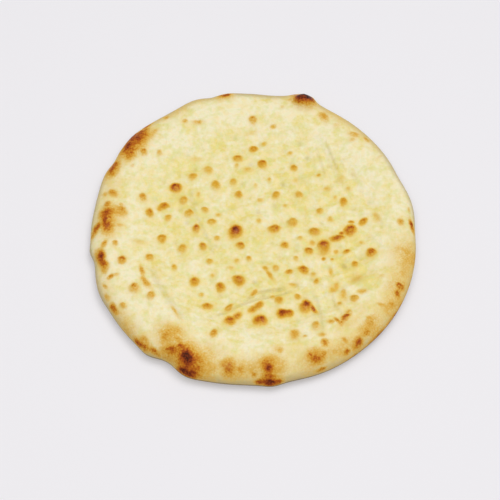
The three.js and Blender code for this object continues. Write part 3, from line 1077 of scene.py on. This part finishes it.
@dataclass(frozen=True)
class Naan:
    """The whole bread, as one piece: its shape, its browning, its mesh and its crust.

    The rings say how finely the top, the roll and the under roll are divided. Clouds and small domes
    give their heights in mm, or their shares of the bake and the butter.
    """

    outline: Outline = Outline()
    section: Section = Section()
    docked: DockedMiddle = DockedMiddle()
    blisters: Blisters = Blisters()
    # The edge's tan and its painted shade, and a painted contact shadow below the widest line.
    tan_and_shade: EdgeTanAndShade = EdgeTanAndShade()
    crown_rings: int = 126
    roll_rings: int = 24
    under_rings: int = 9
    slow_swells: tuple[Cloud, ...] = (Cloud(0.5, 38.0, 41, 2), Cloud(0.24, 9.0, 44, 2))
    skin_bubbles: tuple[SmallDomes, ...] = (SmallDomes(0.3, 4.6, 51), SmallDomes(0.2, 2.6, 52))
    rim_smoothness: float = 0.85
    plumpness: float = 0.5
    under_hollows: Cloud = Cloud(1.0, 16.0, 61)
    hollow_range: Pair = (0.05, 0.5)
    under_share: float = 0.995
    wash_breaks: Cloud = Cloud(0.5, 10.0, 71)
    raggedness: Cloud = Cloud(0.22, 5.0, 73)
    edge_tan: float = 0.06
    seared_from: float = 4.0
    seared_mean: float = 0.34
    seared_range: Pair = (0.05, 0.85)
    searing: tuple[Cloud, ...] = (Cloud(0.3, 7.0, 81), Cloud(0.2, 26.0, 84, 2))
    butter_mean: float = 0.52
    butter_less_on_rim: float = 0.28
    butter_less_on_cushions: float = 0.5
    butter_clouds: tuple[Cloud, ...] = (Cloud(0.05, 30.0, 91, 2), Cloud(0.35, 8.0, 94, 2))
    butter_pool: float = 0.3
    pool_place: Pair = (64.0, -28.0)
    pool_reach: Pair = (26.0, 34.0)
    groove_shade: float = 0.45

    @property
    def plan(self) -> Plan:
        """Give the rings of the top and its roll."""
        return Plan(self.crown_rings + self.roll_rings)

    @property
    def half(self) -> Plan:
        """Give the rings of the underside, half as many as the top's."""
        return Plan(self.plan.rings // 2)

    @property
    def spots(self) -> list[Spot]:
        """Give every spot at its place on the skin."""
        return self.blisters.spots(self.outline, self.section.slack())

    def crown(self, surface: Surface) -> Array:
        """Give the top's height in mm before the edge rolls down.

        Args:
            surface: The top's places, with no heights yet.

        Returns:
            The middle's or the rim's height, with slow swells, the quilting, the folds, the
            blisters and the small bubbles of the skin laid on it.
        """
        x, y = surface.skin_x, surface.skin_y
        rim = self.docked.rim_share(surface.points[:, 0], surface.points[:, 1])
        low = self.section.middle_height
        height = low + (self.section.rim_top(surface.angle) - low) * rim
        height += sum(layer.at(x, y) for layer in self.slow_swells + self.skin_bubbles)
        groove, lift = self.docked.folds(x, y)
        height += (1.0 - self.rim_smoothness * rim) * self.docked.pillows(x, y) + lift - groove
        height -= self.docked.hole_depth * self.docked.holes(x, y)
        height += self.docked.wrinkles(x, y) + self.plumpness * self.blisters.plump(x, y)
        return height + self.blisters.swollen(x, y) + spots_relief(self.spots, x, y)

    def top(self) -> Surface:
        """Work out the top, from the middle to the widest line.

        Returns:
            The surface. Out to the roll the rings are evenly spaced. Round the roll the reach is a
            cosine and the height above the widest line a sine of the way up from that line.
        """
        ring, angle = self.plan.points()
        radius = self.outline.radius(angle)
        width = self.section.top_roll
        flat = np.minimum(ring / self.crown_rings, 1.0)
        turn = (1.0 - np.clip((ring - self.crown_rings) / self.roll_rings, 0.0, 1.0)) * 0.25 * TURN
        reach = (radius - width) * flat + width * np.cos(turn)
        inset = self.section.upper().arc(turn) + (radius - width) * (1.0 - flat)
        surface = self.lay(reach, radius, angle, inset)
        widest = self.section.widest_height
        surface.points[:, 2] = widest + (self.crown(surface) - widest) * np.sin(turn)
        return surface

    def lay(self, reach: Array, radius: Array, angle: Array, inset: Array) -> Surface:
        """Place points on the plan and on the skin, at no height.

        Args:
            reach: The points' distances from the middle on the plan, in mm.
            radius: The outline's radius at their angles, in mm.
            angle: Their angles in degrees.
            inset: How far in from the widest line they lie along the skin, in mm.

        Returns:
            The surface. On the skin a point lies at the radius and the slack, less its inset.
        """
        cosine, sine = unit(angle)
        points = np.stack([reach * cosine, reach * sine, np.zeros_like(reach)], axis=1)
        skin = radius + self.section.slack() - inset
        return Surface(points, angle, skin * cosine, skin * sine, inset)

    def band(self) -> Surface:
        """Work out the rings of the under roll, from below the widest line to the underside.

        Returns:
            The surface. The reach is a cosine and the drop a sine of the way down.
        """
        count = self.plan.last_ring().size
        angle = np.tile(360.0 * np.arange(count) / count, self.under_rings)
        turn = np.repeat(np.arange(1, self.under_rings + 1) / self.under_rings, count) * 0.25 * TURN
        radius = self.outline.radius(angle)
        reach = radius - self.section.under_roll * (1.0 - np.cos(turn))
        surface = self.lay(reach, radius, angle, -self.section.lower().arc(turn))
        surface.points[:, 2] = self.section.widest_height * (1.0 - np.sin(turn))
        return surface

    def underside(self) -> Array:
        """Work out the underside, which stands a little off the floor in patches.

        Returns:
            The points in mm: evenly spaced rings, lifted by a smooth step of a cloud.
        """
        ring, angle = self.half.points()
        edge = (self.outline.radius(angle) - self.section.under_roll) * self.under_share
        reach = edge * ring / self.half.rings
        x, y = reach * np.array(unit(angle))
        lift = self.section.under_lift * smoothstep(self.under_hollows.at(x, y), *self.hollow_range)
        return np.stack([x, y, lift * (ring < self.half.rings)], axis=1)

    def faces(self) -> Array:
        """Join the top, the under roll and the underside into one closed skin.

        Returns:
            The triangles as point numbers: the top's plan, bands of two triangles for each point of
            the edge, one band where two edge points meet one of the underside's, and the
            underside's plan turned over.
        """
        upper = self.plan.last_ring()
        count = upper.size
        start = upper[-1] + 1
        parts = [self.plan.faces()]
        for k in range(self.under_rings):
            lower = start + k * count + np.arange(count)
            parts.append(np.stack([upper, lower, np.roll(lower, -1)], axis=1))
            parts.append(np.stack([upper, np.roll(lower, -1), np.roll(upper, -1)], axis=1))
            upper = lower
        base = start + self.under_rings * count
        inner = base + self.half.last_ring()
        even, odd = upper[0::2], upper[1::2]
        parts.append(np.stack([even, inner, odd], axis=1))
        parts.append(np.stack([odd, inner, np.roll(inner, -1)], axis=1))
        parts.append(np.stack([odd, np.roll(inner, -1), np.roll(even, -1)], axis=1))
        parts.append(base + self.half.faces()[:, ::-1])
        return np.concatenate(parts)

    def skin_bake(self, surface: Surface) -> Array:
        """Work out how brown the top and the edge are baked.

        Args:
            surface: The places on the skin.

        Returns:
            The bake, 0 to 1: the spots, the rim's washes and a tan along the edge, both broken up by
            a cloud, and the freckles on the pillows, as the fifth root of their fifth powers, times
            a cloud that makes them ragged.
        """
        x, y = surface.skin_x, surface.skin_y
        broken = np.clip(1.0 + self.wash_breaks.at(x, y), 0.0, None)
        edge = self.edge_tan * self.tan_and_shade.at(surface.angle, surface.inset)
        washes = (self.blisters.washed(surface.angle, surface.inset) + edge) * broken
        freckles = self.blisters.freckles(*self.docked.rows(x, y)) * (1.0 - self.docked.rim_share(x, y))
        powers = spots_bake(self.spots, x, y) + washes**5 + freckles**5
        return (powers**0.2 * (1.0 + self.raggedness.at(x, y))).clip(0.0, 1.0)

    def buttered(self, x: Array, y: Array) -> Array:
        """Give how much butter the skin has soaked up.

        Args:
            x: The places' X on the skin.
            y: The places' Y on the skin.

        Returns:
            The share, 0 to 1: less on the rim and on the cushions, cloudy, and with one broad pool.
        """
        butter = self.butter_mean - self.butter_less_on_rim * self.docked.rim_share(x, y)
        butter += sum(cloud.at(x, y) for cloud in self.butter_clouds)
        butter += self.butter_pool * mound(x, y, self.pool_place, self.pool_reach)
        return np.clip(butter - self.butter_less_on_cushions * self.blisters.plump(x, y), 0.0, 1.0)

    def measure(self) -> tuple[Array, dict[str, Array]]:
        """Work out the vertices and their attributes.

        Returns:
            The vertices in metres, centred on the origin in plan, and by name how far each is baked,
            how much butter it has soaked up, how deep in a fold or a docked hole it lies, which sets
            its painted shade there, how near the edge it is, which sets the edge's tan and its painted
            shade, and whether it is on the rim. The underside is seared in clouds and has no butter.
        """
        top, band, under = self.top(), self.band(), self.underside()
        deepest = self.section.lower().whole()
        flat = np.zeros(len(under))
        angle = np.concatenate([top.angle, band.angle, flat])
        x = np.concatenate([top.skin_x, band.skin_x, under[:, 0]])
        y = np.concatenate([top.skin_y, band.skin_y, under[:, 1]])
        inset = np.concatenate([top.inset, band.inset, flat - deepest])
        baked = np.concatenate([self.skin_bake(top), self.skin_bake(band), flat])
        bare = smoothstep(-inset, self.seared_from, deepest)
        seared = self.seared_mean + sum(cloud.at(x, y) for cloud in self.searing)
        # Painted shade in folds and docked holes, stronger where they are deeper.
        groove, _ = self.docked.folds(x, y)
        hollow_shade = np.clip(self.groove_shade * groove + self.docked.holes(x, y), 0.0, 1.0)
        fields = {
            "bake": baked + (np.clip(seared, *self.seared_range) - baked) * bare,
            "butter": self.buttered(x, y) * (1.0 - bare),
            "hollow_shade": hollow_shade * (1.0 - bare),
            # Near the edge: the edge's tan and its painted shade, and below the widest line a painted
            # contact shadow.
            "edge_tan_and_shade": self.tan_and_shade.at(angle, inset) * (1.0 - bare),
            "rim": self.docked.rim_share(x, y),
        }
        points = np.concatenate([top.points, band.points, under])
        shift = 0.5 * (points.min(axis=0) + points.max(axis=0)) * np.array([1.0, 1.0, 0.0])
        return (points - shift) * MM, fields

    def build(self) -> bpy.types.Object:
        """Make the bread's mesh, with its attributes, and put it in the scene.

        Returns:
            The bread.
        """
        vertices, fields = self.measure()
        faces = self.faces()
        mesh = bpy.data.meshes.new("naan_bread")
        mesh.vertices.add(len(vertices))
        mesh.vertices.foreach_set("co", vertices.astype(np.float32).ravel())
        mesh.loops.add(faces.size)
        mesh.loops.foreach_set("vertex_index", faces.astype(np.int32).ravel())
        mesh.polygons.add(len(faces))
        mesh.polygons.foreach_set("loop_start", (3 * np.arange(len(faces))).astype(np.int32))
        mesh.polygons.foreach_set("loop_total", np.full(len(faces), 3, np.int32))
        mesh.update(calc_edges=True)
        mesh.validate()
        mesh.shade_smooth()
        for name, values in fields.items():
            layer = mesh.attributes.new(name, "FLOAT", "POINT")
            layer.data.foreach_set("value", values.astype(np.float32))
        return put("naan_bread", mesh)

    def dress(self, bread: bpy.types.Object) -> None:
        """Give the bread its crust."""
        bread.data.materials.append(CrustFinish().material())


def put(name: str, data: bpy.types.ID) -> bpy.types.Object:
    """Make an object of its data, and put it in the scene.

    Args:
        name: The object's name.
        data: Its mesh, lamp or camera.

    Returns:
        The object.
    """
    thing = bpy.data.objects.new(name, data)
    bpy.context.scene.collection.objects.link(thing)
    return thing


@dataclass(frozen=True)
class Speckle:
    """Noise over the crust: how wide its blotches are in mm, its detail and its strength."""

    size: float
    detail: float
    strength: float

    def scale(self) -> float:
        """Give how many blotches lie in a metre."""
        return 1.0 / (self.size * MM)


class Board:
    """A node tree being wired: adds nodes, sets their values and links their sockets."""

    def __init__(self, tree: bpy.types.NodeTree) -> None:
        """Keep the tree, emptied of the nodes it came with."""
        self.tree = tree
        tree.nodes.clear()

    def add(self, kind: str, settings: dict | None = None, **sockets: object) -> bpy.types.Node:
        """Add a node.

        Args:
            kind: The node's type, without the word ShaderNode.
            settings: The node's own properties.
            sockets: Its inputs by name, with _ for a space: each a value, or a socket to link.

        Returns:
            The new node.
        """
        node = self.tree.nodes.new("ShaderNode" + kind)
        for name, value in (settings or {}).items():
            setattr(node, name, value)
        for name, value in sockets.items():
            self.feed(node.inputs[name.replace("_", " ")], value)
        return node

    def feed(self, socket: Socket, value: object) -> None:
        """Link an output to an input, or set the input's value.

        Args:
            socket: The input.
            value: An output, or a value.
        """
        if isinstance(value, Socket):
            self.tree.links.new(value, socket)
        else:
            socket.default_value = value

    def attribute(self, name: str) -> Socket:
        """Read one of the bread's attributes."""
        return self.add("Attribute", {"attribute_name": name}).outputs["Fac"]

    def sum(self, operation: str, *values: object) -> Socket:
        """Work out a number from others with a Math node.

        Args:
            operation: The node's operation, followed by CLAMP to keep the result between 0 and 1.
            values: The numbers or the sockets it takes.

        Returns:
            The result.
        """
        clamp = operation.endswith(" CLAMP")
        node = self.add("Math", {"operation": operation.removesuffix(" CLAMP"), "use_clamp": clamp})
        for socket, value in zip(node.inputs, values):
            self.feed(socket, value)
        return node.outputs[0]

    def blend(self, factor: object, first: object, second: object) -> Socket:
        """Mix two colours.

        Args:
            factor: 0 for the first colour and 1 for the second.
            first: The first colour, as a value or a socket.
            second: The second one.

        Returns:
            The mixed colour.
        """
        node = self.add("Mix", {"data_type": "RGBA"})
        sockets = {socket.identifier: socket for socket in node.inputs}
        self.feed(sockets["Factor_Float"], factor)
        self.feed(sockets["A_Color"], first)
        self.feed(sockets["B_Color"], second)
        return next(socket for socket in node.outputs if socket.identifier == "Result_Color")

    def spread(self, value: object, *ends: float) -> Socket:
        """Carry a number from one range to another, smoothly, and no further than its ends.

        Args:
            value: The number or the socket.
            ends: The first range's two ends, and the second's, which are 0 and 1 when not given.

        Returns:
            The carried number.
        """
        node = self.add("MapRange", {"interpolation_type": "SMOOTHSTEP"})
        for socket, number in zip(node.inputs, (value, *ends)):
            self.feed(socket, number)
        return node.outputs[0]

    def noise(self, vector: Socket, speckle: Speckle) -> Socket:
        """Give noise about 0, half the speckle's strength up and down."""
        node = self.add("TexNoise", None, Vector=vector, Scale=speckle.scale(), Detail=speckle.detail)
        return self.sum("MULTIPLY", self.sum("SUBTRACT", node.outputs[0], 0.5), speckle.strength)


@dataclass(frozen=True)
class Toasting:
    """The colours that dough takes on as it bakes, and the noise that makes its spots ragged.

    stops holds the colours by how far the dough is baked. Plain, unbuttered dough browns paler, less
    yellow and grainier: tan is its colour. Each range is two ends, and the two they are carried to.
    """

    stops: tuple[tuple[float, Colour], ...] = (
        (0.0, (238, 214, 132)),
        (0.16, (235, 204, 108)),
        (0.3, (225, 176, 60)),
        (0.42, (213, 150, 36)),
        (0.54, (195, 114, 24)),
        (0.66, (170, 82, 20)),
        (0.78, (134, 54, 18)),
        (0.9, (80, 32, 12)),
        (1.0, (42, 20, 14)),
    )
    tan: Colour = (228, 192, 134)
    grain: Speckle = Speckle(1.2, 3.0, 0.6)
    patches: Speckle = Speckle(5.0, 2.0, 0.4)
    grain_range: Ends = (0.0, 0.65)
    rougher_range: Ends = (0.05, 0.3, 0.0, 0.25)
    tan_range: Ends = (0.12, 0.5, 0.35, 0.0)
    browned_range: Ends = (0.0, 0.26)
    dry_range: Ends = (0.3, 0.9)

    def group(self) -> bpy.types.NodeTree:
        """Make the group that turns dough brown.

        Returns:
            A group with the plain dough's colour, how far it is baked and how little butter it holds
            going in, and the baked colour and how dry the skin has become coming out.
        """
        tree = bpy.data.node_groups.new("toasting", "ShaderNodeTree")
        for name, kind in {"Dough": "Color", "Bake": "Float", "Plainness": "Float"}.items():
            tree.interface.new_socket(name, in_out="INPUT", socket_type="NodeSocket" + kind)
        for name, kind in {"Color": "Color", "Dryness": "Float"}.items():
            tree.interface.new_socket(name, in_out="OUTPUT", socket_type="NodeSocket" + kind)
        board = Board(tree)
        entry = tree.nodes.new("NodeGroupInput").outputs
        leave = tree.nodes.new("NodeGroupOutput").inputs
        where = board.add("TexCoord").outputs["Object"]
        both = board.sum("ADD", board.noise(where, self.grain), board.noise(where, self.patches))
        rougher = board.sum("MULTIPLY", entry["Plainness"], board.spread(entry["Bake"], *self.rougher_range))
        reach = board.sum("ADD CLAMP", board.spread(entry["Bake"], *self.grain_range), rougher)
        bake = board.sum("ADD CLAMP", entry["Bake"], board.sum("MULTIPLY", both, reach))
        ramp = board.add("ValToRGB", Fac=bake)
        elements = ramp.color_ramp.elements
        while len(elements) < len(self.stops):
            elements.new(0.5)
        for element, (place, colour) in zip(elements, self.stops):
            element.position = place
            element.color = linear(colour)
        tan = board.sum("MULTIPLY", entry["Plainness"], board.spread(bake, *self.tan_range))
        browned = board.blend(tan, ramp.outputs["Color"], linear(self.tan))
        colour = board.blend(board.spread(bake, *self.browned_range), entry["Dough"], browned)
        board.feed(leave["Color"], colour)
        board.feed(leave["Dryness"], board.spread(bake, *self.dry_range))
        return tree


@dataclass(frozen=True)
class CrustFinish:
    """The baked skin: cream dough, yellower where the butter has soaked in, and browned in spots.

    olive and rosy are its two tinges. The colour for folds and docked holes is painted shade, an
    olive darkening. edge is the colour of the rolled edge: partly its tan, and partly painted shade
    where it turns away from the light. sole is that of the band below the widest line: partly the
    baked underside, and partly a painted contact shadow. Each range is two ends, and the two they
    are carried to.
    """

    cream: Colour = (248, 239, 202)
    buttered: Colour = (236, 218, 126)
    olive: Colour = (227, 224, 146)
    rosy: Colour = (251, 231, 176)
    # The next three colours are painted shade: for folds and docked holes, for the rolled edge, and for the
    # band below the widest line. The edge and the band also carry baked tan.
    hollow_shade: Colour = (184, 164, 92)
    edge: Colour = (186, 168, 122)
    sole: Colour = (120, 98, 64)
    soaked_patches: Speckle = Speckle(7.0, 2.0, 2.0)
    soaked_flecks: Speckle = Speckle(2.6, 2.0, 1.4)
    tinges: Speckle = Speckle(4.4, 1.0, 2.4)
    hollow_strength: float = 0.7
    edge_range: Ends = (0.0, 1.0, 0.0, 0.8)
    sole_range: Ends = (1.0, 1.5, 0.0, 0.85)
    fine_grain: Speckle = Speckle(0.8, 2.0, 0.75)
    coarse_grain: Speckle = Speckle(2.4, 3.0, 1.0)
    bump_strength: float = 0.55
    bump_height: float = 0.6
    gloss_range: Ends = (0.35, 0.95)
    roughness_range: Ends = (0.0, 1.0, 0.58, 0.46)
    dry_roughness: float = 0.12
    specular: float = 0.12
    coat: float = 0.3
    coat_roughness: float = 0.25
    scatter: float = 0.1
    scatter_radius: Triple = (0.9, 0.5, 0.2)
    scatter_depth: float = 2.0

    def material(self) -> bpy.types.Material:
        """Build the material from the bread's attributes and the toasting group.

        Returns:
            The material.
        """
        material = bpy.data.materials.new("baked_crust")
        material.use_nodes = True
        board = Board(material.node_tree)
        where = board.add("TexCoord").outputs["Object"]
        # How near the edge: it brings in the edge's tan and painted shade, and the painted contact shadow
        # below the widest line.
        edge_tan_and_shade = board.attribute("edge_tan_and_shade")

        patches = board.noise(where, self.soaked_patches)
        flecks = board.noise(where, self.soaked_flecks)
        soaked = board.sum("ADD CLAMP", board.attribute("butter"), board.sum("ADD", patches, flecks))
        dough = board.blend(soaked, linear(self.cream), linear(self.buttered))
        tinge = board.noise(where, self.tinges)
        tints = (
            (board.sum("MULTIPLY CLAMP", tinge, 1.0), self.olive),
            (board.sum("MULTIPLY CLAMP", tinge, -1.0), self.rosy),
            # Painted shade in folds and docked holes: an olive darkening.
            (board.sum("MULTIPLY CLAMP", board.attribute("hollow_shade"), self.hollow_strength), self.hollow_shade),
            # The rolled edge's colour: partly its tan, partly painted shade where it turns away from the
            # light.
            (board.spread(edge_tan_and_shade, *self.edge_range), self.edge),
        )
        for factor, tint in tints:
            dough = board.blend(factor, dough, linear(tint))
        toasting = board.add(
            "Group",
            {"node_tree": Toasting().group()},
            Dough=dough,
            Bake=board.attribute("bake"),
            Plainness=board.attribute("rim"),
        )
        # The band below the widest line: partly the baked underside, partly a painted contact shadow.
        sole = board.spread(edge_tan_and_shade, *self.sole_range)
        colour = board.blend(sole, toasting.outputs["Color"], linear(self.sole))

        height = board.sum("ADD", board.noise(where, self.fine_grain), board.noise(where, self.coarse_grain))
        bump = board.add("Bump", Strength=self.bump_strength, Distance=self.bump_height * MM, Height=height)

        gloss = board.spread(soaked, *self.gloss_range)
        dull = board.sum("MULTIPLY", toasting.outputs["Dryness"], self.dry_roughness)
        shader = board.add(
            "BsdfPrincipled",
            Base_Color=colour,
            Roughness=board.sum("ADD", board.spread(gloss, *self.roughness_range), dull),
            Specular_IOR_Level=self.specular,
            Coat_Weight=board.sum("MULTIPLY", gloss, self.coat),
            Coat_Roughness=self.coat_roughness,
            Subsurface_Weight=self.scatter,
            Subsurface_Radius=self.scatter_radius,
            Subsurface_Scale=self.scatter_depth * MM,
            Normal=bump.outputs["Normal"],
        )
        board.add("OutputMaterial", Surface=shader.outputs["BSDF"])
        return material


@dataclass(frozen=True)
class Studio:
    """A pale, faintly glowing floor, soft light from above and behind, and the camera.

    Places and widths are in metres. centre_pixel is where the origin shows in a square picture whose
    side is image_side pixels, and pixels_per_metre is the picture's scale there.
    """

    floor_size: float = 4.0
    floor_colour: Colour = (202, 200, 203)
    floor_roughness: float = 0.7
    floor_specular: float = 0.1
    glow_colour: tuple[float, ...] = (1.0, 0.99, 1.0, 1.0)
    floor_glow: float = 0.29
    sky_colour: Colour = (252, 252, 255)
    sky_strength: float = 0.29
    overhead_power: float = 11.6
    overhead_width: float = 1.8
    overhead_place: Triple = (0.05, -0.05, 1.2)
    key_strength: float = 0.53
    key_spread: float = 28.0
    key_place: Triple = (0.3, 0.3, 0.9)
    view_distance: float = 1.0
    view_elevation: float = 59.8
    image_side: float = 500.0
    pixels_per_metre: float = 1495.0
    centre_pixel: Pair = (253.1, 235.9)
    sensor: float = 36.0

    def floor(self) -> bpy.types.Object:
        """Lay the floor at the height the bread rests on.

        Returns:
            The floor, a square round the origin.
        """
        side = np.linspace(-0.5, 0.5, 2) * self.floor_size
        u, v = np.meshgrid(side, side)
        points = np.stack([u.ravel(), v.ravel(), np.zeros(u.size)], axis=1)
        mesh = bpy.data.meshes.new("floor")
        mesh.from_pydata(points.tolist(), [], [(0, 1, 3, 2)])
        material = bpy.data.materials.new("pale_floor")
        material.use_nodes = True
        board = Board(material.node_tree)
        shader = board.add(
            "BsdfPrincipled",
            Base_Color=linear(self.floor_colour),
            Roughness=self.floor_roughness,
            Specular_IOR_Level=self.floor_specular,
            Emission_Color=self.glow_colour,
            Emission_Strength=self.floor_glow,
        )
        board.add("OutputMaterial", Surface=shader.outputs["BSDF"])
        mesh.materials.append(material)
        return put("floor", mesh)

    def light(self) -> None:
        """Set the pale sky, the wide lamp overhead and the soft sun."""
        world = bpy.data.worlds.new("studio")
        world.use_nodes = True
        board = Board(world.node_tree)
        sky = board.add("Background", Color=linear(self.sky_colour), Strength=self.sky_strength)
        board.add("OutputWorld", Surface=sky.outputs["Background"])
        bpy.context.scene.world = world
        overhead = self.hang("overhead", "AREA", self.overhead_place, self.overhead_power)
        overhead.shape = "DISK"
        overhead.size = self.overhead_width
        key = self.hang("key", "SUN", self.key_place, self.key_strength)
        key.angle = math.radians(self.key_spread)

    def hang(self, name: str, kind: str, place: Triple, energy: float) -> bpy.types.Light:
        """Hang a lamp that is aimed at the bread's middle.

        Args:
            name: The lamp's name.
            kind: The kind of lamp.
            place: Where it hangs, in metres.
            energy: Its power or its strength.

        Returns:
            The lamp's data.
        """
        lamp = bpy.data.lights.new(name, kind)
        lamp.energy = energy
        away = np.array(place)
        put(name, lamp).matrix_world = self.aimed(away / np.linalg.norm(away), away)
        return lamp

    @staticmethod
    def aimed(back: Array, place: Array) -> Matrix:
        """Turn an object so that it looks along minus back, level with the horizon.

        Args:
            back: The unit direction from what it looks at to the object.
            place: Where the object stands.

        Returns:
            The object's matrix.
        """
        right = np.cross([0.0, 0.0, 1.0], back)
        right /= np.linalg.norm(right)
        up = np.cross(back, right)
        matrix = np.eye(4)
        matrix[:3] = np.stack([right, up, back, place], axis=1)
        return Matrix(matrix.tolist())

    def camera(self) -> None:
        """Stand the camera so that the bread's middle shows at its pixel in the photograph."""
        focal = self.pixels_per_metre * self.view_distance
        elevation = math.radians(self.view_elevation)
        back = np.array([0.0, -math.cos(elevation), math.sin(elevation)])
        right = np.array([1.0, 0.0, 0.0])
        up = np.cross(back, right)
        off_x = (self.centre_pixel[0] - 0.5 * self.image_side) / focal
        off_y = (0.5 * self.image_side - self.centre_pixel[1]) / focal
        ray = right * off_x + up * off_y - back
        place = -ray / np.linalg.norm(ray) * self.view_distance
        data = bpy.data.cameras.new("camera")
        data.sensor_width = self.sensor
        data.lens = self.sensor * focal / self.image_side
        camera = put("camera", data)
        camera.matrix_world = self.aimed(back, place)
        bpy.context.scene.camera = camera


def main() -> None:
    """Build the bread and the studio, in order, and log how many points and faces the bread has."""
    logging.basicConfig(level=logging.INFO, format="%(message)s")
    studio = Studio()
    studio.camera()
    studio.floor()
    studio.light()
    bpy.context.scene.view_settings.view_transform = "Standard"
    naan = Naan()
    bread = naan.build()
    naan.dress(bread)
    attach(bread, BODY)
    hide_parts(NODE)
    log.info("naan_bread: %d points, %d faces", len(bread.data.vertices), len(bread.data.polygons))


if __name__ == "__main__":
    main()
